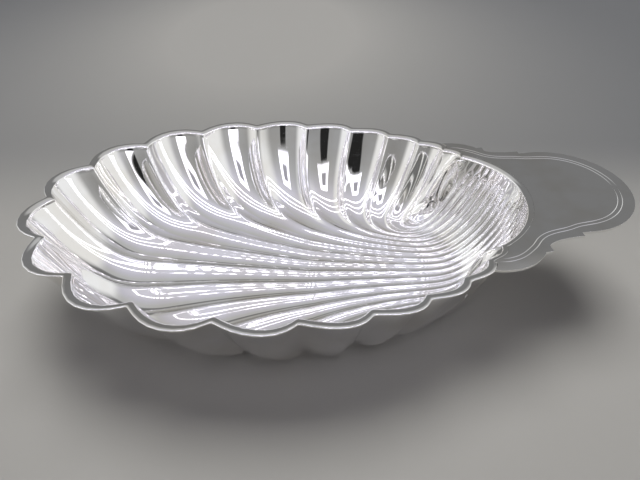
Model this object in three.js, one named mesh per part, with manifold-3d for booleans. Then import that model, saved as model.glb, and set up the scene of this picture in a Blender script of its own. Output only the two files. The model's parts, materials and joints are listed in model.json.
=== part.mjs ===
// Shell dish in sheet silver: a fluted oval bowl with a flat handle plate at its narrow end.
// Millimetres. X runs from the front of the bowl to the handle, Y across, Z up. The pieces
// are drawn from the middle of the bowl's rim; the dish then stands on the plane Z = 0.
import * as THREE from "three";
import { mergeVertices } from "three/addons/utils/BufferGeometryUtils.js";
import Module from "manifold-3d";

const wasm = await Module();
wasm.setup();

// Rim of the bowl, measured to the inner points between the scallops
const rimHalfLength = 114.4;
const rimHalfWidth = 80.4;
const handleEndReach = 121.8;
const handleEndAngle = 151;
const fluteCount = 20;
const frontWidening = 0.54;

// Depth of the ridges below the rim, how far the walls reach inwards and how full they are
const ridgeDepth = 50.5;
const deepestPlace = 15;
const frontRise = 0.08;
const sideWallReach = 33;
const frontWallReach = 31;
const handleWallReach = 33;
const cornerWallReach = 29;
const cornerRidges = 10;
const foldedRidges = 2.5;
const wallFullness = 2.1;
const wallFootSoftness = 0.4;

// Run of the ridges in plan
const handleRun = 75;
const handleRunGain = 0.25;
const rimRun = 14;
const rimLean = 0.25;
const tongueLength = 12;
const tongueDepth = 27;
const tongueLean = 0.2;
const turnBackPower = 6.5;

// Hollow of a flute as a share of its width, and the distances over which it changes
const wallHollow = 0.28;
const frontScallop = 0.25;
const sideScallop = 0.14;
const scallopLean = 0.55;
const scallopBlend = 40;
const leanBlend = 30;
const lipBlend = 12;
const smoothBand = 1;
const handleBlend = 8;

// Sheet, edges and the seat for the handle plate
const sheet = 1.2;
const lipRound = 1.8;
const flangeWidth = 4.2;
const seatWidth = 7;
const seatUpstand = 0.9;
const seatLead = 0.6;
const restingCut = 0.6;
const riseStart = 76;
const handleRise = 3.8;

// Handle plate: two side lobes, a step, a scoop and a round end
const plateThickness = 1.2;
const solderGap = 0.3;
const plateTurn = 3.8;
const lobeLength = 20.8;
const lobeHeight = 18.5;
const lobeHalfWidth = 56;
const outerStep = 3.2;
const scoopLength = 17.5;
const scoopDepth = 5;
const innerStep = 2.4;
const endShoulder = 5.9;
const endLength = 32.7;
const endHalfWidth = 36.5;

const columnsPerFlute = 5;
const rowCount = 22;
const curvePoints = 7;
const mergeDistance = 1e-3;

const halfCount = fluteCount / 2;
const degrees = Math.PI / 180;
const riseSlope = Math.tan(handleRise * degrees);
const seatEdge = lipRound + seatUpstand;
const seatLevel = plateThickness + solderGap;

const clamp = (value) => Math.min(1, Math.max(0, value));
const smooth = (value) => clamp(value) ** 2 * (3 - 2 * clamp(value));
const mix = (a, b, share) => a + (b - a) * share;

// Ridges are counted from the front one, and those at the front stand wider apart
function rimAngle(ribs) {
  const share = ribs / halfCount;
  return handleEndAngle * share * (1 + frontWidening * (1 - share)) * degrees;
}

function rimPoint(ribs) {
  const angle = rimAngle(ribs);
  return new THREE.Vector2(-rimHalfLength * Math.cos(angle), rimHalfWidth * Math.sin(angle));
}

// The handle end of the rim is an arc through its last points and the tip
const lastRimPoint = rimPoint(halfCount);
const arcCentre = (handleEndReach ** 2 - lastRimPoint.lengthSq()) / (2 * (handleEndReach - lastRimPoint.x));
const arcRadius = handleEndReach - arcCentre;
const arcSpread = Math.atan2(lastRimPoint.y, lastRimPoint.x - arcCentre);

function arcPoint(ribs) {
  const angle = (arcSpread * ribs) / halfCount;
  return new THREE.Vector2(arcCentre + arcRadius * Math.cos(angle), arcRadius * Math.sin(angle));
}

// Outward directions of both edges, which agree at the last rim point
function plainOutward(ribs, onRim) {
  const angle = onRim ? rimAngle(ribs) : (arcSpread * ribs) / halfCount;
  const alongX = onRim ? -Math.cos(angle) / rimHalfLength : Math.cos(angle);
  const alongY = onRim ? Math.sin(angle) / rimHalfWidth : Math.sin(angle);
  return new THREE.Vector2(alongX, alongY).normalize();
}
const cornerOutward = plainOutward(halfCount, true).add(plainOutward(halfCount, false)).normalize();

function outward(ribs, onRim) {
  return plainOutward(ribs, onRim).lerp(cornerOutward, smooth(ribs - halfCount + 1)).normalize();
}

// The rim plane rises gently under the handle plate
const rimLift = (x) => riseSlope * Math.max(0, x - riseStart);

// The last ridge goes out along a tongue and back; such a curve reaches 3/4 of its run
const arcInward = plainOutward(halfCount, false).negate();
const tongueRun = new THREE.Vector2(-1, 0).lerp(arcInward, tongueLean).setLength(tongueLength / 0.75);

// One ridge in plan, from the handle end to the rim
function makeRidgeCurve(ribs) {
  const start = arcPoint(ribs);
  const end = rimPoint(ribs);
  const startRun = new THREE.Vector2(-handleRun - handleRunGain * (start.x - end.x), 0);
  const endRun = plainOutward(ribs, true);
  endRun.x += rimLean * Math.sin(rimAngle(ribs));
  endRun.normalize().multiplyScalar(-rimRun);
  const turnBack = (ribs / halfCount) ** turnBackPower;
  startRun.lerp(tongueRun, turnBack);
  endRun.lerp(tongueRun, turnBack);
  return new THREE.CubicBezierCurve(start, startRun.add(start), endRun.add(end), end);
}

const ridgeCurves = new Map();
function ridgeCurve(ribs) {
  if (!ridgeCurves.has(ribs)) {
    ridgeCurves.set(ribs, makeRidgeCurve(ribs));
  }
  return ridgeCurves.get(ribs);
}

// How much of the depth a wall has at a distance from its edge; its foot is rounded
const softened = (value) => (value + Math.hypot(value, wallFootSoftness)) / 2;
const wallShare = (distance, reach) => 1 - (softened(1 - distance / reach) / softened(1)) ** wallFullness;

// The smooth surface that carries the ridges, by flute number and place between the two edges
function ridgeSurface(column, row) {
  const ribs = Math.abs(halfCount - column);
  const share = ribs === halfCount ? Math.min(row, 1 - row) : row;
  const curve = ridgeCurve(ribs);
  const length = curve.getLength();
  const plan = curve.getPointAt(share);
  const frontShare = smooth(1 - (2 * ribs) / halfCount);
  const cornerShare = smooth((ribs - halfCount + cornerRidges) / cornerRidges);
  const foldedShare = smooth((ribs - halfCount + foldedRidges) / foldedRidges);
  const rimReach = mix(mix(sideWallReach, frontWallReach, frontShare), cornerWallReach, cornerShare);
  const rimPart = wallShare((1 - share) * length, rimReach);
  const handlePart = wallShare(share * length, mix(handleWallReach, cornerWallReach, foldedShare));
  const floor = ridgeDepth - frontRise * Math.max(0, deepestPlace - plan.x);
  const wallDepth = lipRound + (floor - lipRound) * rimPart * handlePart;
  const nosePlace = clamp((Math.min(share, 1 - share) * length) / tongueLength);
  const noseDepth = lipRound + (tongueDepth - lipRound) * (1 - Math.sqrt(1 - nosePlace ** 2));
  const depth = mix(wallDepth, noseDepth, smooth(ribs - halfCount + 1));
  const height = rimLift(plan.x) * (1 - depth / ridgeDepth) - depth;
  return new THREE.Vector3(plan.x, Math.sign(halfCount - column) * plan.y, height);
}

// Downward direction of that surface and the width of a flute on it
function surfaceFrame(column, row) {
  const step = 0.02;
  const middle = Math.min(fluteCount - step, Math.max(step, column));
  const lower = Math.max(0, row - step);
  const upper = Math.min(1, row + step);
  const along = ridgeSurface(middle, upper).sub(ridgeSurface(middle, lower)).normalize();
  const across = ridgeSurface(middle + step, row).sub(ridgeSurface(middle - step, row));
  across.divideScalar(2 * step);
  const normal = across.cross(along);
  const width = normal.length();
  normal.divideScalar(width);
  if (normal.z > 0) {
    normal.negate();
  }
  return { normal, width };
}

function downward(column, row, lipDistance) {
  const normal = surfaceFrame(column, row).normal;
  if (column === 0 || column === fluteCount) {
    normal.add(surfaceFrame(column, 1 - row).normal);
  }
  normal.z *= smooth(lipDistance / lipBlend);
  return normal.normalize();
}

// Hollow between two ridges; near the rim the side scallops lean towards the handle
function hollowAcross(column, lean) {
  const part = column - Math.floor(column);
  const fromHandle = column < halfCount ? part : 1 - part;
  const place = fromHandle / (fromHandle + (1 - fromHandle) * lean);
  return 4 * place * (1 - place);
}

// Inner and outer face of the bowl at one place
function bowlPoints(column, row) {
  const ribs = Math.abs(halfCount - column);
  const length = ridgeCurve(ribs).getLength();
  const fromHandle = row * length;
  const fromRim = (1 - row) * length;
  const lipDistance = Math.min(fromHandle, fromRim);
  const frontShare = smooth(1 - (2 * (ribs - 1)) / halfCount);
  const scallop = mix(sideScallop, frontScallop, frontShare);
  const handleShare = smooth((fromHandle - smoothBand) / handleBlend);
  const hollow = mix(scallop, wallHollow, smooth(fromRim / scallopBlend)) * handleShare;
  const leanShare = smooth((ribs - 2) / 4) * (1 - smooth(fromRim / leanBlend));
  const fluteWidth = surfaceFrame(column, row).width;
  const depth = hollow * fluteWidth * hollowAcross(column, mix(1, scallopLean, leanShare));
  const normal = downward(column, row, lipDistance);
  const inner = ridgeSurface(column, row).addScaledVector(normal, depth);
  const outer = inner.clone().addScaledVector(normal, sheet);
  return { inner, outer };
}

// A point beside the rim, measured outward from the inner edge and up from the rim plane
function edgePoint(column, onRim, distance, height) {
  const ribs = Math.abs(halfCount - column);
  const direction = outward(ribs, onRim).multiplyScalar(distance);
  const lip = bowlPoints(column, onRim ? 1 : 0).inner;
  const x = lip.x + direction.x;
  const y = lip.y + Math.sign(halfCount - column) * direction.y;
  return new THREE.Vector3(x, y, rimLift(x) + height);
}

// The turned-out edge: rounded lip, flat top, outer edge and underside
function edgeSection(column, onRim) {
  const ribs = Math.abs(halfCount - column);
  const seatShare = onRim ? smooth(ribs - halfCount + 1) : 1;
  const thickShare = onRim ? smooth((ribs - halfCount + 1 + seatLead) / seatLead) : 1;
  const reach = mix(flangeWidth, seatEdge + seatWidth, seatShare);
  const thickness = mix(sheet, seatLevel + sheet, thickShare);
  const corner = 1 - Math.SQRT1_2;
  const top = [
    edgePoint(column, onRim, lipRound * corner, -lipRound * corner),
    edgePoint(column, onRim, lipRound, 0),
    edgePoint(column, onRim, reach, 0),
  ];
  const under = [
    edgePoint(column, onRim, reach, -thickness),
    edgePoint(column, onRim, sheet + solderGap, -thickness),
  ];
  return { top, under, thickness };
}

// The closed outline of the sheet along one ridge or hollow
function bowlSection(column) {
  const handleEdge = edgeSection(column, false);
  const rimEdge = edgeSection(column, true);
  const inner = [];
  const outer = [];
  for (let index = 0; index <= rowCount; index += 1) {
    const row = (1 - Math.cos((Math.PI * index) / rowCount)) / 2;
    const points = bowlPoints(column, row);
    const edge = row < 0.5 ? handleEdge : rimEdge;
    const ceiling = rimLift(points.outer.x) - edge.thickness - solderGap;
    points.outer.z = Math.min(points.outer.z, ceiling);
    inner.push(points.inner);
    outer.push(points.outer);
  }
  return [
    ...handleEdge.top.reverse(),
    ...inner,
    ...rimEdge.top,
    ...rimEdge.under,
    ...outer.reverse(),
    ...handleEdge.under.reverse(),
  ];
}

// Sections joined side by side; the first and last close on themselves
function skinSections(sections) {
  const size = sections[0].length;
  const positions = sections.flat().flatMap((point) => point.toArray());
  const faces = [];
  for (let place = 0; place < sections.length - 1; place += 1) {
    for (let index = 0; index < size; index += 1) {
      const next = (index + 1) % size;
      const a = place * size + index;
      const b = place * size + next;
      faces.push(a, b, b + size, a, b + size, a + size);
    }
  }
  const geometry = new THREE.BufferGeometry();
  geometry.setAttribute("position", new THREE.Float32BufferAttribute(positions, 3));
  geometry.setIndex(faces);
  return geometry;
}

function toSolid(source, matrix = new THREE.Matrix4()) {
  const plain = source.clone().applyMatrix4(matrix);
  plain.deleteAttribute("normal");
  plain.deleteAttribute("uv");
  const merged = mergeVertices(plain, mergeDistance);
  const faces = [];
  const index = merged.index.array;
  for (let start = 0; start < index.length; start += 3) {
    const [a, b, c] = index.slice(start, start + 3);
    if (a !== b && b !== c && c !== a) {
      faces.push(a, b, c);
    }
  }
  const vertProperties = Float32Array.from(merged.attributes.position.array);
  return new wasm.Manifold(new wasm.Mesh({ numProp: 3, vertProperties, triVerts: Uint32Array.from(faces) }));
}

function toGeometry(solid) {
  const mesh = solid.getMesh();
  const geometry = new THREE.BufferGeometry();
  geometry.setAttribute("position", new THREE.Float32BufferAttribute(mesh.vertProperties, 3));
  geometry.setIndex(Array.from(mesh.triVerts));
  geometry.computeVertexNormals();
  return geometry;
}

// Top outline of the bowl: flange round the scallops, upstand where the plate is seated
function bowlFootprint(clearance) {
  const points = [];
  for (let place = 0; place <= fluteCount * columnsPerFlute; place += 1) {
    const column = place / columnsPerFlute;
    const ribs = Math.abs(halfCount - column);
    const onFlange = ribs < halfCount - 1;
    const seated = edgePoint(column, true, seatEdge + clearance, 0);
    const open = edgePoint(column, true, flangeWidth + clearance, 0);
    const both = column < halfCount ? [seated, open] : [open, seated];
    if (ribs === halfCount - 1) {
      points.push(...both);
    } else {
      points.push(onFlange ? open : seated);
    }
  }
  for (let place = fluteCount * columnsPerFlute - 1; place > 0; place -= 1) {
    points.push(edgePoint(place / columnsPerFlute, false, seatEdge + clearance, 0));
  }
  return points.map((point) => new THREE.Vector2(point.x, point.y));
}

// Half outline of the plate from its tip, closed behind the rim
const lobeCentreX = rimPoint(halfCount - 1).x + flangeWidth;
const lobeCentreY = lobeHalfWidth - lobeHeight;
const scoopY = endHalfWidth + innerStep + scoopDepth;
const lobeStart = Math.asin((scoopY + outerStep - lobeCentreY) / lobeHeight);
const stepX = lobeCentreX + lobeLength * Math.cos(lobeStart) + outerStep;
const scoopEndX = stepX + scoopLength;
const endCentreX = scoopEndX + endShoulder;

function plateOutline() {
  const half = new THREE.Path();
  half.moveTo(endCentreX + endLength, 0);
  half.absellipse(endCentreX, 0, endLength, endHalfWidth, 0, Math.PI / 2, false);
  half.lineTo(scoopEndX, endHalfWidth);
  half.lineTo(scoopEndX, endHalfWidth + innerStep);
  half.absellipse(scoopEndX, scoopY, scoopLength, scoopDepth, 1.5 * Math.PI, Math.PI, true);
  half.lineTo(stepX, scoopY + outerStep);
  half.absellipse(lobeCentreX, lobeCentreY, lobeLength, lobeHeight, lobeStart, Math.PI, false);
  const upper = half.getPoints(curvePoints);
  const lower = upper.slice(1).reverse();
  const mirrored = lower.map((point) => new THREE.Vector2(point.x, -point.y));
  const middle = new THREE.Vector2(lastRimPoint.x, 0);
  return [...upper, ...mirrored].map((point) => point.rotateAround(middle, plateTurn * degrees));
}

function prism(outline, bottom, top) {
  const depth = top - bottom;
  const geometry = new THREE.ExtrudeGeometry(new THREE.Shape(outline), { depth, bevelEnabled: false });
  return geometry.translate(0, 0, bottom);
}

// The plate and its seat lie in the rising rim plane
const tilt = new THREE.Matrix4().makeShear(0, riseSlope, 0, 0, 0, 0);
const plane = new THREE.Matrix4().makeTranslation(0, 0, -riseSlope * riseStart).multiply(tilt);

function flatPiece(outline, bottom, top, cutter, margin) {
  const body = toSolid(prism(outline, bottom, top), plane);
  const hole = toSolid(prism(cutter, bottom - margin, top + margin), plane);
  return body.subtract(hole);
}

const bowlSections = [];
for (let place = 0; place <= fluteCount * columnsPerFlute; place += 1) {
  bowlSections.push(bowlSection(place / columnsPerFlute));
}
const skin = toSolid(skinSections(bowlSections));
const outline = plateOutline();
const seat = flatPiece(outline, -seatLevel, lipRound, bowlFootprint(0), 1);
const plate = flatPiece(outline, -plateThickness, 0, bowlFootprint(solderGap), 1);

// The lowest flutes are planished flat where the dish stands
const lowest = skin.boundingBox().min[2];
const standHeight = -lowest - restingCut;
const tableSize = 4 * (rimHalfLength + rimHalfWidth);
const tableTop = new THREE.BoxGeometry(tableSize, tableSize, 2 * ridgeDepth);
const table = toSolid(tableTop.translate(0, 0, -standHeight - ridgeDepth));
const bowl = skin.subtract(seat).subtract(table);

function addPiece(name, solid, colour, roughness) {
  const material = new THREE.MeshStandardMaterial({ color: colour, roughness, metalness: 1 });
  const mesh = new THREE.Mesh(toGeometry(solid), material);
  mesh.name = name;
  return mesh;
}

const dish = new THREE.Group();
dish.add(addPiece("shell_bowl", bowl, 0xe6e5e2, 0.06));
dish.add(addPiece("handle_plate", plate, 0xdedddb, 0.1));

// The origin goes under the middle of the whole dish
const extent = new THREE.Box3().setFromObject(dish);
dish.position.set(-(extent.min.x + extent.max.x) / 2, 0, standHeight);

export default dish;
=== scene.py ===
import json
import math
import bmesh
import bpy
import numpy as np
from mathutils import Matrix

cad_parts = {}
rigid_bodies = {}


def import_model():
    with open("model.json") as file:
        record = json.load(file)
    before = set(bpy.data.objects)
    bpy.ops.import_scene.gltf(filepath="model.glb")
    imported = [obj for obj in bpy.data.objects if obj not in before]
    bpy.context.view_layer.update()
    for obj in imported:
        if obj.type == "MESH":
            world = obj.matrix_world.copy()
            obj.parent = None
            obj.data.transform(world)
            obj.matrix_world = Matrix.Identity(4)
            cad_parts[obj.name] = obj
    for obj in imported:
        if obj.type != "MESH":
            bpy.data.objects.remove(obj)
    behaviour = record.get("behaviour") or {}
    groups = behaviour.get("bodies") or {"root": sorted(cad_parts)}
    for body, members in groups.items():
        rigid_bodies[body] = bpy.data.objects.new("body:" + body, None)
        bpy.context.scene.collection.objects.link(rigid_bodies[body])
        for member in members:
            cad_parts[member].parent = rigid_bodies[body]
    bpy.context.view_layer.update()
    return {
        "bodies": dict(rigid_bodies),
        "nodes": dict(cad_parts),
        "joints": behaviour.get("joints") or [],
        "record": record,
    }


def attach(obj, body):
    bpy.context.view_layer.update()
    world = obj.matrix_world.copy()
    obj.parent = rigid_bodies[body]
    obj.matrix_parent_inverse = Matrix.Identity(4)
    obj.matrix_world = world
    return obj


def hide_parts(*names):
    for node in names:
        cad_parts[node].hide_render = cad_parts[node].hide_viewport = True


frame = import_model()

# Sizes are in millimetres from the middle of the bowl's rim, as a silversmith would draw
# them, and toWorld puts them on the table in metres.
placing = {
    "middleShift": -24.146,  # the dish is centred with its handle plate
    "standHeight": 54.198,
}


def toWorld(points):
    placed = np.array(points, float)
    placed[..., 0] += placing["middleShift"]
    placed[..., 2] += placing["standHeight"]
    return placed / 1000


def smooth(value):
    value = np.clip(value, 0, 1)
    return value * value * (3 - 2 * value)


def mix(low, high, share):
    return low + (high - low) * share


def unit(vectors):
    return vectors / np.linalg.norm(vectors, axis=-1, keepdims=True)


def hexColour(text):
    channels = [int(text[place:place + 2], 16) / 255 for place in (1, 3, 5)]
    return tuple(c / 12.92 if c <= 0.04045 else ((c + 0.055) / 1.055) ** 2.4 for c in channels) + (1.0,)


def addNode(tree, kind, settings=None, links=None, stops=None):
    node = tree.nodes.new(kind)
    for name, value in (settings or {}).items():
        if isinstance(name, int) or name in node.inputs:
            node.inputs[name].default_value = value
        else:
            setattr(node, name, value)
    for name, source in (links or {}).items():
        tree.links.new(source, node.inputs[name])
    if stops:
        marks = node.color_ramp.elements
        for mark, (place, colour) in zip((marks[0], marks[1]), (stops[0], stops[-1])):
            mark.position = place
            mark.color = colour
        for place, colour in stops[1:-1]:
            marks.new(place).color = colour
    return node


bowl = {
    "rimHalfLength": 114.4,
    "rimHalfWidth": 80.4,
    "handleEndReach": 121.8,
    "handleEndAngle": 151,
    "fluteCount": 20,
    "frontWidening": 0.54,
    "ridgeDepth": 50.5,
    "deepestPlace": 15,
    "frontRise": 0.08,
    "sideWallReach": 33,
    "frontWallReach": 31,
    "handleWallReach": 33,
    "cornerWallReach": 29,
    "cornerRidges": 10,
    "foldedRidges": 2.5,
    "wallFullness": 2.1,
    "wallFootSoftness": 0.4,
    "handleRun": 75,
    "handleRunGain": 0.25,
    "rimRun": 14,
    "rimLean": 0.25,
    "tongueLength": 12,
    "tongueDepth": 27,
    "tongueLean": 0.2,
    "turnBackPower": 6.5,
    "wallHollow": 0.28,
    "frontScallop": 0.25,
    "sideScallop": 0.14,
    "scallopLean": 0.55,
    "scallopBlend": 40,
    "leanStart": 2,
    "leanRun": 4,
    "leanBlend": 30,
    "lipBlend": 12,
    "smoothBand": 1,
    "handleBlend": 8,
    "crestSoftness": 0.8,  # the ridges are raised over a stake, so their crests are round
    "crestLimit": 0.2,  # as a share of the flute's width
    "sheet": 1.2,
    "lipRound": 1.8,
    "lipSpread": 3.2,
    "lipLand": 0.1,
    "seatSpread": 2.4,
    "flangeWidth": 4.2,
    "edgeRound": 0.45,
    "seatWidth": 7,
    "seatUpstand": 0.9,
    "seatLead": 0.6,
    "solderGap": 0.3,
    "seamRound": 0.06,  # the solder fills the seam, so it hardly shows
    "plateThickness": 1.2,
    "riseStart": 76,
    "handleRise": 3.8,
    "stepsPerFlute": 12,
    "rows": 110,
    "rowCrowding": 0.75,  # the rows lie closer together at the rim and the handle end
    "curveSteps": 400,
    "frameStep": 0.02,  # the surface's slope is read this far to each side
    "lipSteps": 8,
    "weldDistance": 0.002,
    "sharpAngle": 50,
}

halfCount = bowl["fluteCount"] / 2
riseSlope = math.tan(math.radians(bowl["handleRise"]))
seatEdge = bowl["lipRound"] + bowl["seatUpstand"]
seatLevel = bowl["plateThickness"] + bowl["solderGap"]


def rimAngle(ribs):
    share = ribs / halfCount
    return np.radians(bowl["handleEndAngle"] * share * (1 + bowl["frontWidening"] * (1 - share)))


def rimPoint(ribs):
    angle = rimAngle(ribs)
    return np.stack([-bowl["rimHalfLength"] * np.cos(angle), bowl["rimHalfWidth"] * np.sin(angle)], -1)


lastRim = rimPoint(halfCount)
arcCentre = (bowl["handleEndReach"] ** 2 - lastRim @ lastRim) / (2 * (bowl["handleEndReach"] - lastRim[0]))
arcRadius = bowl["handleEndReach"] - arcCentre
arcSpread = math.atan2(lastRim[1], lastRim[0] - arcCentre)


def arcPoint(ribs):
    angle = arcSpread * ribs / halfCount
    return np.stack([arcCentre + arcRadius * np.cos(angle), arcRadius * np.sin(angle)], -1)


def plainOutward(ribs, onRim):
    ribs = np.asarray(ribs, float)
    if onRim:
        angle = rimAngle(ribs)
        sides = [-np.cos(angle) / bowl["rimHalfLength"], np.sin(angle) / bowl["rimHalfWidth"]]
    else:
        angle = arcSpread * ribs / halfCount
        sides = [np.cos(angle), np.sin(angle)]
    return unit(np.stack(sides, -1))


cornerOutward = unit(plainOutward(halfCount, True) + plainOutward(halfCount, False))


def outward(ribs, onRim):
    share = smooth(ribs - halfCount + 1)[..., None]
    return unit(mix(plainOutward(ribs, onRim), cornerOutward, share))


def rimLift(x):
    return riseSlope * np.maximum(0, x - bowl["riseStart"])


tongueRun = mix(np.array([-1.0, 0.0]), -plainOutward(halfCount, False), bowl["tongueLean"])
tongueRun = unit(tongueRun) * bowl["tongueLength"] / 0.75  # a curve that returns reaches 3/4 of its run


def bezier(points, place):
    rest = 1 - place
    weights = [rest ** 3, 3 * rest ** 2 * place, 3 * rest * place ** 2, place ** 3]
    return sum(weight[..., None] * point for weight, point in zip(weights, points))


def ridgeCurves(ribs):
    start = arcPoint(ribs)
    end = rimPoint(ribs)
    reach = bowl["handleRun"] + bowl["handleRunGain"] * (start[:, 0] - end[:, 0])
    startRun = np.stack([-reach, np.zeros_like(reach)], -1)
    lean = bowl["rimLean"] * np.sin(rimAngle(ribs))
    endRun = -bowl["rimRun"] * unit(plainOutward(ribs, True) + np.stack([lean, 0 * lean], -1))
    turnBack = ((ribs / halfCount) ** bowl["turnBackPower"])[:, None]
    startRun = mix(startRun, tongueRun, turnBack)
    endRun = mix(endRun, tongueRun, turnBack)
    return [point[:, None, :] for point in (start, start + startRun, end + endRun, end)]


def softened(value):
    return (value + np.hypot(value, bowl["wallFootSoftness"])) / 2


def wallShare(distance, reach):
    return 1 - (softened(1 - distance / reach) / softened(1)) ** bowl["wallFullness"]


def ridgeSurface(columns, rows):
    ribs = np.abs(halfCount - columns)
    curves = ridgeCurves(ribs)
    steps = np.linspace(0, 1, bowl["curveSteps"] + 1)[None, :]
    fine = bezier(curves, np.repeat(steps, len(ribs), 0))
    stretches = np.linalg.norm(np.diff(fine, axis=1), axis=-1)
    travelled = np.concatenate([np.zeros((len(ribs), 1)), np.cumsum(stretches, 1)], 1)
    length = travelled[:, -1:]
    share = np.repeat(rows[None, :], len(ribs), 0)
    folded = ribs == halfCount
    share[folded] = np.minimum(share[folded], 1 - share[folded])
    place = np.empty_like(share)
    for index in range(len(ribs)):
        place[index] = np.interp(share[index] * length[index, 0], travelled[index], steps[0])
    plan = bezier(curves, place)
    frontShare = smooth(1 - 2 * ribs / halfCount)
    cornerShare = smooth((ribs - halfCount + bowl["cornerRidges"]) / bowl["cornerRidges"])
    foldedShare = smooth((ribs - halfCount + bowl["foldedRidges"]) / bowl["foldedRidges"])
    rimReach = mix(bowl["sideWallReach"], bowl["frontWallReach"], frontShare)
    rimReach = mix(rimReach, bowl["cornerWallReach"], cornerShare)[:, None]
    handleReach = mix(bowl["handleWallReach"], bowl["cornerWallReach"], foldedShare)[:, None]
    rimPart = wallShare((1 - share) * length, rimReach)
    handlePart = wallShare(share * length, handleReach)
    floor = bowl["ridgeDepth"] - bowl["frontRise"] * np.maximum(0, bowl["deepestPlace"] - plan[..., 0])
    wallDepth = bowl["lipRound"] + (floor - bowl["lipRound"]) * rimPart * handlePart
    nosePlace = np.clip(np.minimum(share, 1 - share) * length / bowl["tongueLength"], 0, 1)
    nose = bowl["lipRound"] + (bowl["tongueDepth"] - bowl["lipRound"]) * (1 - np.sqrt(1 - nosePlace ** 2))
    depth = mix(wallDepth, nose, smooth(ribs - halfCount + 1)[:, None])
    height = rimLift(plan[..., 0]) * (1 - depth / bowl["ridgeDepth"]) - depth
    side = np.sign(halfCount - columns)[:, None]
    return np.stack([plan[..., 0], side * plan[..., 1], height], -1), length


def surfaceFrame(columns, rows):
    step = bowl["frameStep"]
    middle = np.clip(columns, step, bowl["fluteCount"] - step)
    lower = np.maximum(0, rows - step)
    upper = np.minimum(1, rows + step)
    along = unit(ridgeSurface(middle, upper)[0] - ridgeSurface(middle, lower)[0])
    across = (ridgeSurface(middle + step, rows)[0] - ridgeSurface(middle - step, rows)[0]) / (2 * step)
    normal = np.cross(across, along)
    width = np.linalg.norm(normal, axis=-1)
    normal = normal / width[..., None]
    return np.where(normal[..., 2:] > 0, -normal, normal), width


def bowlPoints(columns, rows):
    surface, length = ridgeSurface(columns, rows)
    normal, width = surfaceFrame(columns, rows)
    for end in (0, len(columns) - 1):
        if columns[end] in (0, bowl["fluteCount"]):
            normal[end] += surfaceFrame(columns[[end]], 1 - rows)[0][0]
    fromHandle = rows[None, :] * length
    fromRim = (1 - rows)[None, :] * length
    normal[..., 2] *= smooth(np.minimum(fromHandle, fromRim) / bowl["lipBlend"])
    normal = unit(normal)
    ribs = np.abs(halfCount - columns)[:, None]
    scallop = mix(bowl["sideScallop"], bowl["frontScallop"], smooth(1 - 2 * (ribs - 1) / halfCount))
    hollow = mix(scallop, bowl["wallHollow"], smooth(fromRim / bowl["scallopBlend"]))
    hollow = hollow * smooth((fromHandle - bowl["smoothBand"]) / bowl["handleBlend"])
    leanShare = smooth((ribs - bowl["leanStart"]) / bowl["leanRun"])
    leanShare = leanShare * (1 - smooth(fromRim / bowl["leanBlend"]))
    lean = mix(1, bowl["scallopLean"], leanShare)
    part = (columns - np.floor(columns))[:, None]
    nearHandle = np.where(columns[:, None] < halfCount, part, 1 - part)
    place = nearHandle / (nearHandle + (1 - nearHandle) * lean)
    soft = np.minimum(bowl["crestSoftness"] / width, bowl["crestLimit"])
    low = np.sqrt(place ** 2 + soft ** 2) - soft
    high = np.sqrt((1 - place) ** 2 + soft ** 2) - soft
    middle = np.sqrt(0.25 + soft ** 2) - soft
    across = low * high / middle ** 2
    inner = surface + normal * (hollow * width * across)[..., None]
    outer = inner + normal * bowl["sheet"]
    return inner, outer


def edgePoint(lip, ribs, side, onRim, distance, height):
    direction = outward(ribs, onRim) * distance[:, None]
    x = lip[:, 0] + direction[:, 0]
    y = lip[:, 1] + side * direction[:, 1]
    return np.stack([x, y, rimLift(x) + height], -1)


def edgeSection(lip, columns, onRim):
    ribs = np.abs(halfCount - columns)
    side = np.sign(halfCount - columns)
    seatShare = smooth(ribs - halfCount + 1) if onRim else np.ones_like(ribs)
    lead = (ribs - halfCount + 1 + bowl["seatLead"]) / bowl["seatLead"]
    thickShare = smooth(lead) if onRim else np.ones_like(ribs)
    seated = ribs > halfCount - 1 if onRim else np.ones_like(ribs, bool)
    reach = mix(bowl["flangeWidth"], seatEdge + bowl["seatWidth"], seatShare)
    thickness = mix(bowl["sheet"], seatLevel + bowl["sheet"], thickShare)
    drop = np.where(seated, seatLevel, 0.0)
    small = np.where(seated, bowl["seamRound"], 0.0)
    edge = bowl["edgeRound"]
    corner = 1 - math.sqrt(0.5)
    same = np.ones_like(ribs)
    spread = mix(bowl["lipSpread"], bowl["seatSpread"], thickShare)
    seatLine = mix(bowl["lipSpread"] + bowl["lipLand"], seatEdge, thickShare)
    profile = []
    for index in range(1, bowl["lipSteps"] + 1):
        turn = math.pi / 2 * index / bowl["lipSteps"]
        fall = bowl["lipRound"] * (1 - math.sin(turn))
        profile.append((spread * (1 - math.cos(turn)), -fall * same))
    profile += [
        (seatLine - small, 0 * same),
        (seatLine - small * corner, -small * corner),
        (seatLine, -small),
        (seatLine, -drop),
        (reach - edge, -drop),
        (reach - edge * corner, -drop - edge * corner),
        (reach, -drop - edge),
        (reach, -thickness + edge),
        (reach - edge * corner, -thickness + edge * corner),
        (reach - edge, -thickness),
        ((bowl["sheet"] + bowl["solderGap"]) * same, -thickness),
    ]
    points = [edgePoint(lip, ribs, side, onRim, distance, height) for distance, height in profile]
    return np.stack(points, 1), thickness


def fluteColumns():
    steps = bowl["stepsPerFlute"]
    part = (1 - np.cos(np.pi * np.arange(steps) / steps)) / 2
    columns = (np.arange(bowl["fluteCount"])[:, None] + part[None, :]).ravel()
    return np.append(columns, bowl["fluteCount"])


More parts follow.
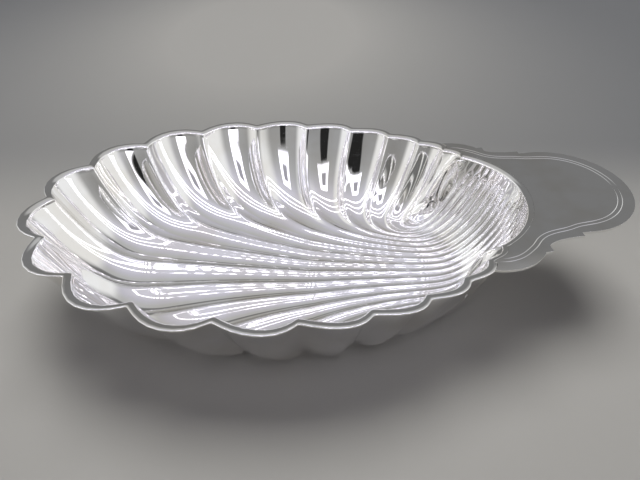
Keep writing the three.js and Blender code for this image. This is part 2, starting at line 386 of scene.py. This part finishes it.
def bowlSections():
    columns = fluteColumns()
    even = np.linspace(0, 1, bowl["rows"] + 1)
    rows = even - bowl["rowCrowding"] * np.sin(2 * np.pi * even) / (2 * np.pi)
    inner, outer = bowlPoints(columns, rows)
    handleEdge, handleThickness = edgeSection(inner[:, 0], columns, False)
    rimEdge, rimThickness = edgeSection(inner[:, -1], columns, True)
    thickness = np.where(rows[None, :] < 0.5, handleThickness[:, None], rimThickness[:, None])
    ceiling = rimLift(outer[..., 0]) - thickness - bowl["solderGap"]
    outer[..., 2] = np.minimum(outer[..., 2], ceiling)
    outer[..., 2] = np.maximum(outer[..., 2], -placing["standHeight"])
    # A section goes over the handle end's edge, along the inside and back along the outside
    start, back = handleEdge[:, -2::-1], handleEdge[:, -1:]
    return np.concatenate([start, inner, rimEdge, outer[:, ::-1], back, start[:, :1]], 1)


def meshObject(name, bm, material, sharpAngle=None):
    mesh = bpy.data.meshes.new(name)
    bm.to_mesh(mesh)
    bm.free()
    mesh.shade_smooth()
    if sharpAngle is not None:
        mesh.set_sharp_from_angle(angle=math.radians(sharpAngle))
    piece = bpy.data.objects.new(name, mesh)
    bpy.context.collection.objects.link(piece)
    piece.data.materials.append(material)
    return piece


def makeBowl(material):
    sections = toWorld(bowlSections())
    columnCount, pointCount = sections.shape[:2]
    bm = bmesh.new()
    bmesh.ops.create_grid(bm, x_segments=columnCount - 1, y_segments=pointCount - 1, size=1)
    for vert in bm.verts:
        column = round((vert.co.x + 1) / 2 * (columnCount - 1))
        point = round((vert.co.y + 1) / 2 * (pointCount - 1))
        vert.co = sections[column, point]
    weld = bowl["weldDistance"] / 1000
    bmesh.ops.remove_doubles(bm, verts=bm.verts, dist=weld)
    bmesh.ops.dissolve_degenerate(bm, edges=bm.edges, dist=weld / 2)
    bmesh.ops.recalc_face_normals(bm, faces=bm.faces)
    piece = meshObject("silver_shell_bowl", bm, material, bowl["sharpAngle"])
    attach(piece, "root")
    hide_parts("shell_bowl")
    return piece


plate = {
    "turn": 3.8,  # it was soldered on a little askew
    "lobeLength": 20.8,
    "lobeHeight": 18.5,
    "lobeHalfWidth": 56,
    "outerStep": 3.2,
    "scoopLength": 17.5,
    "scoopDepth": 5,
    "innerStep": 2.4,
    "endShoulder": 5.9,
    "endLength": 32.65,
    "endHalfWidth": 36.5,
    "arcStep": 1.2,
    "shortestEdge": 0.05,
    "halvings": 30,  # of the step in which the outline crosses the rim
    "edgeRound": 0.25,
    "edgeSteps": 3,
    "seamGap": 0.04,
    "lineInsets": (4.9, 6.9),
    "lineWidth": 0.55,
    "lineDepth": 0.12,
    "lineSoftness": 3.4,
    "lineStep": 0.8,
    "lineTaper": 6,  # steps over which the graver rises at each end
    "flatNormal": 0.99,
    "sharpAngle": 40,
}


def ellipseArc(centre, radii, start, end):
    span = abs(end - start) * max(radii)
    turn = np.linspace(start, end, max(4, round(span / plate["arcStep"])) + 1)
    return np.stack([centre[0] + radii[0] * np.cos(turn), centre[1] + radii[1] * np.sin(turn)], -1)


def turned(points):
    turn = math.radians(plate["turn"])
    x, y = points[:, 0] - lastRim[0], points[:, 1]
    return np.stack([
        lastRim[0] + x * math.cos(turn) - y * math.sin(turn),
        x * math.sin(turn) + y * math.cos(turn),
    ], -1)


def plateOutline():
    lobeCentreX = rimPoint(halfCount - 1)[0] + bowl["flangeWidth"]
    lobeCentreY = plate["lobeHalfWidth"] - plate["lobeHeight"]
    scoopY = plate["endHalfWidth"] + plate["innerStep"] + plate["scoopDepth"]
    lobeStart = math.asin((scoopY + plate["outerStep"] - lobeCentreY) / plate["lobeHeight"])
    stepX = lobeCentreX + plate["lobeLength"] * math.cos(lobeStart) + plate["outerStep"]
    scoopEndX = stepX + plate["scoopLength"]
    endCentreX = scoopEndX + plate["endShoulder"]
    end = (plate["endLength"], plate["endHalfWidth"])
    scoop = (plate["scoopLength"], plate["scoopDepth"])
    lobe = (plate["lobeLength"], plate["lobeHeight"])
    half = np.concatenate([
        ellipseArc((endCentreX, 0), end, 0, math.pi / 2),
        [[scoopEndX, plate["endHalfWidth"]]],
        ellipseArc((scoopEndX, scoopY), scoop, 1.5 * math.pi, math.pi),
        [[stepX, scoopY + plate["outerStep"]]],
        ellipseArc((lobeCentreX, lobeCentreY), lobe, lobeStart, math.pi),
    ])
    mirrored = half[1:][::-1] * [1, -1]
    return turned(np.concatenate([mirrored, half]))


def rimFootprint(clearance):
    columns = fluteColumns()
    rows = np.array([0.0, 1.0])
    inner = bowlPoints(columns, rows)[0]
    ribs = np.abs(halfCount - columns)
    side = np.sign(halfCount - columns)
    distance = np.where(ribs > halfCount - 1, seatEdge, bowl["flangeWidth"]) + clearance
    rim = edgePoint(inner[:, 1], ribs, side, True, distance, 0)[:, :2]
    arcDistance = np.full(len(columns), seatEdge + clearance)
    arc = edgePoint(inner[:, 0], ribs, side, False, arcDistance, 0)[:, :2]
    return rim, arc


def isInside(points, polygon):
    x, y = points[:, None, 0], points[:, None, 1]
    a = polygon[None, :, :]
    b = np.roll(polygon, -1, 0)[None, :, :]
    crosses = (a[..., 1] > y) != (b[..., 1] > y)
    rise = np.where(crosses, b[..., 1] - a[..., 1], 1)
    at = a[..., 0] + (y - a[..., 1]) / rise * (b[..., 0] - a[..., 0])
    return (np.sum(crosses & (x < at), 1) % 2) == 1


def meeting(path, polygon):
    inside = isInside(path, polygon)
    change = int(np.argmax(inside[1:] != inside[:-1]))
    low, high = path[change], path[change + 1]
    startsInside = inside[change]
    for _ in range(plate["halvings"]):
        middle = (low + high) / 2
        if isInside(middle[None], polygon)[0] == startsInside:
            low = middle
        else:
            high = middle
    return low


def plateLoop():
    rim, arc = rimFootprint(plate["seamGap"])
    footprint = np.concatenate([rim, arc[::-1]])
    outline = plateOutline()
    outside = ~isInside(outline, footprint)
    first, last = np.argmax(outside), len(outside) - 1 - np.argmax(outside[::-1])
    lowJoint = meeting(outline[:first + 1], footprint)
    highJoint = meeting(outline[last:][::-1], footprint)
    ring = np.concatenate([rim[::-1], arc])  # rim from the -Y corner round the front to +Y, then the arc
    inOutline = isInside(ring, outline)
    lead = np.argmax(~inOutline)
    ring, inOutline = np.roll(ring, -lead, 0), np.roll(inOutline, -lead)
    seat = ring[inOutline]
    if np.linalg.norm(seat[0] - highJoint) > np.linalg.norm(seat[-1] - highJoint):
        seat = seat[::-1]
    loop = np.concatenate([[lowJoint], outline[first:last + 1], [highJoint], seat])
    onSeat = np.arange(len(loop)) > last - first + 1
    apart = np.linalg.norm(loop - np.roll(loop, 1, 0), axis=1) > plate["shortestEdge"]
    return loop[apart], onSeat[apart]


def softLine(points, softness, step):
    lengths = np.concatenate([[0], np.cumsum(np.linalg.norm(np.diff(points, axis=0), axis=1))])
    places = np.arange(0, lengths[-1], step)
    even = np.stack([np.interp(places, lengths, points[:, side]) for side in (0, 1)], -1)
    reach = math.ceil(3 * softness / step)
    weights = np.exp(-((np.arange(-reach, reach + 1) * step / softness) ** 2) / 2)
    padded = np.pad(even, ((reach, reach), (0, 0)), mode="reflect", reflect_type="odd")
    return np.stack([np.convolve(padded[:, side], weights / weights.sum(), "valid") for side in (0, 1)], -1)


def engravedLine(inset, loop):
    # The graver skips the small steps of the outline, so the line follows it softened
    line = softLine(plateOutline(), plate["lineSoftness"], plate["lineStep"])
    run = unit(np.gradient(line, axis=0))
    line = softLine(line + inset * run[:, ::-1] * [-1, 1], plate["lineSoftness"] / 2, plate["lineStep"])
    run = unit(np.gradient(line, axis=0))
    side = run[:, ::-1] * [-1, 1]
    room = 2 * plate["lineWidth"]
    clear = isInside(line, loop) & isInside(line + room * side, loop) & isInside(line - room * side, loop)
    clear &= isInside(line + room * run, loop) & isInside(line - room * run, loop)
    cuts = np.flatnonzero(np.diff(np.concatenate([[0], clear.astype(int), [0]])))
    first, last = max(zip(cuts[::2], cuts[1::2]), key=lambda pair: pair[1] - pair[0])
    line, side = line[first:last], side[first:last]
    steps = np.arange(len(line))
    taper = np.minimum(1, np.minimum(steps, steps[::-1]) / plate["lineTaper"])[:, None]
    half = side * taper * plate["lineWidth"] / 2
    return line - half, line, line + half, taper[:, 0] * plate["lineDepth"]


def onPlate(points, drop):
    height = riseSlope * (points[:, 0] - bowl["riseStart"]) - drop
    return toWorld(np.stack([points[:, 0], points[:, 1], height], -1))


def makePlate(material):
    loop, onSeat = plateLoop()
    bm = bmesh.new()
    lower = [bm.verts.new(point) for point in onPlate(loop, bowl["plateThickness"])]
    sheet = bmesh.ops.extrude_face_region(bm, geom=[bm.faces.new(lower)])["geom"]
    top = next(part for part in sheet if isinstance(part, bmesh.types.BMFace))
    upper = list(top.verts)
    bmesh.ops.translate(bm, verts=upper, vec=(0, 0, bowl["plateThickness"] / 1000))
    bmesh.ops.delete(bm, geom=[top], context="FACES_ONLY")
    rings = [[bm.edges.get((ring[index - 1], ring[index])) for index in range(len(loop))]
             for ring in (lower, upper)]
    free = [not (onSeat[index - 1] or onSeat[index]) for index in range(len(loop))]
    rims = [edge for ring in rings for edge, isFree in zip(ring, free) if isFree]
    edges = rings[1]  # the top is filled again round the engraved lines
    for inset in plate["lineInsets"]:
        left, middle, right, depth = engravedLine(inset, loop)
        floorVerts = [bm.verts.new(point) for point in onPlate(middle, depth)]
        banks = []
        for bank in (left, right):
            inner = [bm.verts.new(point) for point in onPlate(bank[1:-1], 0)]
            banks.append([floorVerts[0], *inner, floorVerts[-1]])
        for bank in banks:
            for index in range(len(floorVerts) - 1):
                corners = (bank[index], bank[index + 1], floorVerts[index + 1], floorVerts[index])
                bm.faces.new(list(dict.fromkeys(corners)))
                edges.append(bm.edges.get((bank[index], bank[index + 1])))
    bmesh.ops.triangle_fill(bm, use_beauty=True, edges=edges)
    bmesh.ops.recalc_face_normals(bm, faces=bm.faces)
    bmesh.ops.bevel(
        bm, geom=rims, offset=plate["edgeRound"] / 1000, segments=plate["edgeSteps"],
        profile=0.5, affect="EDGES", material=-1, clamp_overlap=True,
    )
    bmesh.ops.triangulate(bm, faces=[face for face in bm.faces if len(face.verts) > 4])
    piece = meshObject("silver_handle_plate", bm, material, plate["sharpAngle"])
    for face in piece.data.polygons:  # the rolled sheet is flat, only its edge is round
        face.use_smooth = abs(face.normal.z) < plate["flatNormal"]
    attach(piece, "root")
    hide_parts("handle_plate")
    return piece


silver = {
    "colour": "#F4F4F4",
    "tarnish": "#ECEAE6",
    "cloudSize": 30,
    "cloudEdges": (0.38, 0.58),
    "planishing": 9,
    "planishingDepth": 0.02,
    "scratchLength": 14,
    "scratchWidth": 0.35,
    "scratchAngle": 20,
    "scratchEdges": (0.4, 0.7),
    "smoothest": 0.02,
    "roughest": 0.06,
}


# Sterling silver, raised, planished and polished: a near mirror with a faint wobble
# from the hammer, hairline scratches from wiping and a trace of warm tarnish
def polishedSilver(name):
    material = bpy.data.materials.new(name)
    material.use_nodes = True
    tree = material.node_tree
    shader = tree.nodes["Principled BSDF"]
    shader.inputs["Metallic"].default_value = 1
    place = addNode(tree, "ShaderNodeTexCoord").outputs["Object"]
    clouds = addNode(tree, "ShaderNodeTexNoise", {"Scale": 1000 / silver["cloudSize"], "Detail": 3.0}, {
        "Vector": place})
    tones = hexColour(silver["tarnish"]), hexColour(silver["colour"])
    tint = addNode(tree, "ShaderNodeValToRGB", links={"Fac": clouds.outputs["Fac"]},
                   stops=list(zip(silver["cloudEdges"], tones)))
    tree.links.new(tint.outputs["Color"], shader.inputs["Base Color"])
    along, across = 1000 / silver["scratchLength"], 1000 / silver["scratchWidth"]
    strokes = addNode(tree, "ShaderNodeMapping", {
        "Rotation": (0, 0, math.radians(silver["scratchAngle"])), "Scale": (along, across, along),
    }, {"Vector": place})
    scratches = addNode(tree, "ShaderNodeTexNoise", {"Scale": 1.0, "Detail": 2.0}, {
        "Vector": strokes.outputs["Vector"]})
    low, high = silver["scratchEdges"]
    gloss = addNode(tree, "ShaderNodeMapRange", {
        "From Min": low, "From Max": high, "To Min": silver["smoothest"], "To Max": silver["roughest"],
    }, {"Value": scratches.outputs["Fac"]})
    tree.links.new(gloss.outputs["Result"], shader.inputs["Roughness"])
    facets = addNode(tree, "ShaderNodeTexNoise", {"Scale": 1000 / silver["planishing"], "Detail": 1.0}, {
        "Vector": place})
    wobble = addNode(tree, "ShaderNodeBump", {
        "Distance": silver["planishingDepth"] / 1000, "Strength": 1.0}, {"Height": facets.outputs["Fac"]})
    tree.links.new(wobble.outputs["Normal"], shader.inputs["Normal"])
    return material


# Turns about the X axis go from the back of the tent (0) over its top (0.5) to its front (1).
# Edges lie where light and dark meet in the photograph's silver, read at some 40 places as
# directions and then rounded and set, as the levels are, to bring the tones near.
tent = {
    "overhead": [
        (0.0, 0.19), (0.235, 0.19), (0.272, 0.48), (0.36, 0.50), (0.5, 0.58), (0.6, 0.68),
        (0.72, 0.72), (0.8, 0.66), (0.9, 0.42), (1.0, 0.25),
    ],
    "lightLines": [0.6, 0.68, 0.75],
    "lightLineWidth": 0.008,
    "lightSpacing": 0.035,
    "lightSoftness": 0.4,
    "lightLevel": 7.0,
    "sideLevel": 0.9,
    "sideStart": (0.58, 0.85),
    "sideTop": (0.75, 0.5),
    "acrossEdges": [-0.18, -0.03, 0.25, 0.41],
    "upEdges": [0.235, 0.26, 0.34, 0.52, 0.64],
    "edgeSoftness": 0.012,
    "leastForward": 0.001,  # keeps the back of the tent out of the front flap's pattern
    "frameLevel": 2.2,
    "flapLevel": 0.4,
    "slotLevel": 0.02,
    "lavender": (0.97, 0.95, 1.06),
    "lavenderFrom": 0.55,
    "floorShare": 0.06,
}

room = {
    "floorColour": "#BAB8B3",
    "floorRoughness": 0.9,
    "floorHalfWidth": 4,
    # painted shade: a darker band on the floor behind the dish, darker towards the sides
    "paintedShadeColour": "#7A7B7C",
    "paintedShadeStart": (0.02, 0.17),
    "paintedShadeEnd": (1.6, 0.7),
    # painted light: the shade band is lightened around a spot in its middle
    "paintedLightPlace": (-0.08, 0.5),
    "paintedLightReach": (0.55, 0.9),
    "paintedLightFull": 0.6,
    "paintedShadeInLight": 0.15,
    "backgroundLevel": 0.33,
    "lampPower": 19.0,
    "lampSize": 1.0,
    "lampPlace": (0.0, 0.45, 1.55),
}


def levelColour(level, tint=(1, 1, 1)):
    return tuple(level * channel for channel in tint) + (1.0,)


def steppedStops(edges, colours, softness):
    stops = [(0.0, colours[0])]
    for edge, before, after in zip(edges, colours, colours[1:]):
        stops += [(edge - softness, before), (edge + softness, after)]
    return stops + [(1.0, colours[-1])]


# A light tent: a dim back, a bright roof with three rows of small lamps, bright sides, and
# a front flap with a white frame and an open slot
def makeTent():
    world = bpy.data.worlds.new("light_tent")
    bpy.context.scene.world = world
    world.use_nodes = True
    tree = world.node_tree
    background = tree.nodes["Background"]
    lavender = tent["lavender"]
    direction = addNode(tree, "ShaderNodeTexCoord").outputs["Generated"]
    parts = addNode(tree, "ShaderNodeSeparateXYZ", links={0: direction}).outputs
    angle = addNode(tree, "ShaderNodeMath", {"operation": "ARCTAN2"}, {0: parts["Z"], 1: parts["Y"]})
    turn = addNode(tree, "ShaderNodeMath", {"operation": "DIVIDE", 1: math.pi}, {0: angle.outputs[0]})
    shade = addNode(tree, "ShaderNodeValToRGB", links={"Fac": turn.outputs[0]}, stops=[
        (place, levelColour(level, lavender if level > tent["lavenderFrom"] else (1, 1, 1)))
        for place, level in tent["overhead"]]).outputs["Color"]

    aside = addNode(tree, "ShaderNodeMath", {"operation": "ABSOLUTE"}, {0: parts["X"]})
    outer, full = tent["sideStart"]
    sideward = addNode(tree, "ShaderNodeMapRange", {
        "interpolation_type": "SMOOTHSTEP", "From Min": outer, "From Max": full}, {
        "Value": aside.outputs[0]})
    outer, full = tent["sideTop"]
    below = addNode(tree, "ShaderNodeMapRange", {
        "interpolation_type": "SMOOTHSTEP", "From Min": outer, "From Max": full}, {"Value": parts["Z"]})
    sideShare = addNode(tree, "ShaderNodeMath", {"operation": "MULTIPLY"}, {
        0: sideward.outputs["Result"], 1: below.outputs["Result"]})
    shade = addNode(tree, "ShaderNodeMix", {"data_type": "RGBA", 7: levelColour(tent["sideLevel"])}, {
        "Factor": sideShare.outputs[0], 6: shade}).outputs[2]

    width = tent["lightLineWidth"]
    lineEdges = [place + side * width * 0.75 for place in tent["lightLines"] for side in (-1, 1)]
    dark, light = levelColour(0), levelColour(1)
    lines = addNode(tree, "ShaderNodeValToRGB", links={"Fac": turn.outputs[0]}, stops=steppedStops(
        lineEdges, [dark] + [light, dark] * len(tent["lightLines"]), width / 4))
    along = addNode(tree, "ShaderNodeMath", {"operation": "DIVIDE"}, {0: parts["X"], 1: parts["Z"]})
    phase = addNode(tree, "ShaderNodeMath", {
        "operation": "MULTIPLY", 1: 2 * math.pi / tent["lightSpacing"]}, {0: along.outputs[0]})
    wave = addNode(tree, "ShaderNodeMath", {"operation": "SINE"}, {0: phase.outputs[0]})
    dots = addNode(tree, "ShaderNodeMapRange", {"From Max": tent["lightSoftness"]}, {
        "Value": wave.outputs[0]})
    lampShare = addNode(tree, "ShaderNodeMath", {"operation": "MULTIPLY"}, {
        0: lines.outputs["Color"], 1: dots.outputs["Result"]})
    shade = addNode(tree, "ShaderNodeMix", {
        "data_type": "RGBA", 7: levelColour(tent["lightLevel"], lavender)}, {
        "Factor": lampShare.outputs[0], 6: shade}).outputs[2]

    # Both ramps hold three masks in their channels: red the slot's, green the frame's, blue the
    # flap's inside the frame
    forward = addNode(tree, "ShaderNodeMath", {"operation": "MULTIPLY", 1: -1.0}, {0: parts["Y"]})
    forward = addNode(tree, "ShaderNodeMath", {
        "operation": "MAXIMUM", 1: tent["leastForward"]}, {0: forward.outputs[0]})
    across = addNode(tree, "ShaderNodeMath", {"operation": "DIVIDE"}, {0: parts["X"], 1: forward.outputs[0]})
    acrossHalf = addNode(tree, "ShaderNodeMapRange", {"From Min": -1.0}, {"Value": across.outputs[0]})
    up = addNode(tree, "ShaderNodeMath", {"operation": "DIVIDE"}, {0: parts["Z"], 1: forward.outputs[0]})
    nothing, slot, frame = (0, 0, 0, 1), (1, 0, 0, 1), (0, 1, 0, 1)
    flap, everything = (0, 1, 1, 1), (1, 1, 1, 1)
    soft = tent["edgeSoftness"]
    halfEdges = [(edge + 1) / 2 for edge in tent["acrossEdges"]]
    acrossStops = steppedStops(halfEdges, [nothing, frame, everything, frame, nothing], soft / 2)
    upStops = steppedStops(tent["upEdges"], [slot, nothing, frame, flap, frame, nothing], soft)
    acrossMask = addNode(tree, "ShaderNodeValToRGB", links={"Fac": acrossHalf.outputs[0]}, stops=acrossStops)
    upMask = addNode(tree, "ShaderNodeValToRGB", links={"Fac": up.outputs[0]}, stops=upStops)
    masks = addNode(tree, "ShaderNodeVectorMath", {"operation": "MULTIPLY"}, {
        0: acrossMask.outputs["Color"], 1: upMask.outputs["Color"]})
    shares = addNode(tree, "ShaderNodeSeparateXYZ", links={0: masks.outputs["Vector"]}).outputs
    layers = {
        "Y": levelColour(tent["frameLevel"], lavender),
        "Z": levelColour(tent["flapLevel"], lavender),
        "X": levelColour(tent["slotLevel"]),
    }
    for channel, colour in layers.items():
        shade = addNode(tree, "ShaderNodeMix", {"data_type": "RGBA", 7: colour}, {
            "Factor": shares[channel], 6: shade}).outputs[2]

    rays = addNode(tree, "ShaderNodeLightPath").outputs
    shade = addNode(tree, "ShaderNodeMix", {"data_type": "RGBA", 7: levelColour(room["backgroundLevel"])}, {
        "Factor": rays["Is Camera Ray"], 6: shade}).outputs[2]
    tree.links.new(shade, background.inputs["Color"])
    strength = addNode(tree, "ShaderNodeMapRange", {"To Min": 1.0, "To Max": tent["floorShare"]}, {
        "Value": rays["Is Diffuse Ray"]})
    tree.links.new(strength.outputs["Result"], background.inputs["Strength"])


def makeLamp():
    data = bpy.data.lights.new("soft_roof_lamp", "AREA")
    data.size = room["lampSize"]
    data.energy = room["lampPower"]
    lamp = bpy.data.objects.new("soft_roof_lamp", data)
    lamp.location = room["lampPlace"]
    lamp.visible_glossy = False  # the silver shows the tent's roof instead
    bpy.context.collection.objects.link(lamp)


# The paper is level; a darker soft band of painted shade behind the dish stands for its bend
# in the dim back of the tent, with painted light making it lighter in the middle
def makeFloor():
    bm = bmesh.new()
    bmesh.ops.create_grid(bm, x_segments=1, y_segments=1, size=room["floorHalfWidth"])
    material = bpy.data.materials.new("matt_grey_paper_painted_shade")
    material.use_nodes = True
    tree = material.node_tree
    shader = tree.nodes["Principled BSDF"]
    place = addNode(tree, "ShaderNodeTexCoord").outputs["Object"]
    depth = addNode(tree, "ShaderNodeSeparateXYZ", links={0: place}).outputs["Y"]
    # painted shade: the band's darker colour comes in behind the dish and fades far back
    outer, full = room["paintedShadeStart"]
    paintedShadeIn = addNode(tree, "ShaderNodeMapRange", {
        "interpolation_type": "SMOOTHSTEP", "From Min": outer, "From Max": full}, {"Value": depth})
    outer, full = room["paintedShadeEnd"]
    paintedShadeOut = addNode(tree, "ShaderNodeMapRange", {
        "interpolation_type": "SMOOTHSTEP", "From Min": outer, "From Max": full}, {"Value": depth})
    paintedShadeBand = addNode(tree, "ShaderNodeMath", {"operation": "MULTIPLY"}, {
        0: paintedShadeIn.outputs["Result"], 1: paintedShadeOut.outputs["Result"]})
    # painted light: less of the painted shade around a spot in the middle, so the floor is lighter there
    (paintedLightX, paintedLightY), (reachX, reachY) = room["paintedLightPlace"], room["paintedLightReach"]
    middle = addNode(tree, "ShaderNodeMapping", {
        "Location": (-paintedLightX / reachX, -paintedLightY / reachY, 0), "Scale": (1 / reachX, 1 / reachY, 1),
    }, {"Vector": place})
    paintedLightPool = addNode(tree, "ShaderNodeTexGradient", {"gradient_type": "QUADRATIC_SPHERE"}, {
        "Vector": middle.outputs["Vector"]})
    paintedShadeLeft = addNode(tree, "ShaderNodeMapRange", {
        "From Max": room["paintedLightFull"], "To Min": 1.0, "To Max": room["paintedShadeInLight"]}, {
        "Value": paintedLightPool.outputs["Fac"]})
    share = addNode(tree, "ShaderNodeMath", {"operation": "MULTIPLY"}, {
        0: paintedShadeBand.outputs[0], 1: paintedShadeLeft.outputs["Result"]})
    # the floor's colour is mixed towards the painted shade's darker colour
    colour = addNode(tree, "ShaderNodeMix", {
        "data_type": "RGBA", 6: hexColour(room["floorColour"]), 7: hexColour(room["paintedShadeColour"])}, {
        "Factor": share.outputs[0]})
    tree.links.new(colour.outputs[2], shader.inputs["Base Color"])
    shader.inputs["Roughness"].default_value = room["floorRoughness"]
    floor = meshObject("floor", bm, material)


lens = {
    "length": 26.977,
    "sensorWidth": 36,
    "place": (20, -202.38, 134.75),
    "lookDown": 38.757,
}


def makeCamera():
    data = bpy.data.cameras.new("camera")
    data.sensor_width = lens["sensorWidth"]
    data.lens = lens["length"]
    camera = bpy.data.objects.new("camera", data)
    camera.location = toWorld(lens["place"])
    camera.rotation_euler = (math.radians(90 - lens["lookDown"]), 0, 0)
    bpy.context.collection.objects.link(camera)
    bpy.context.scene.camera = camera


bpy.context.scene.view_settings.view_transform = "Standard"
makeCamera()
makeTent()
makeLamp()
makeFloor()
print("room made")
makeBowl(polishedSilver("polished_silver_bowl"))
print("bowl made")
makePlate(polishedSilver("polished_silver_plate"))
print("plate made")
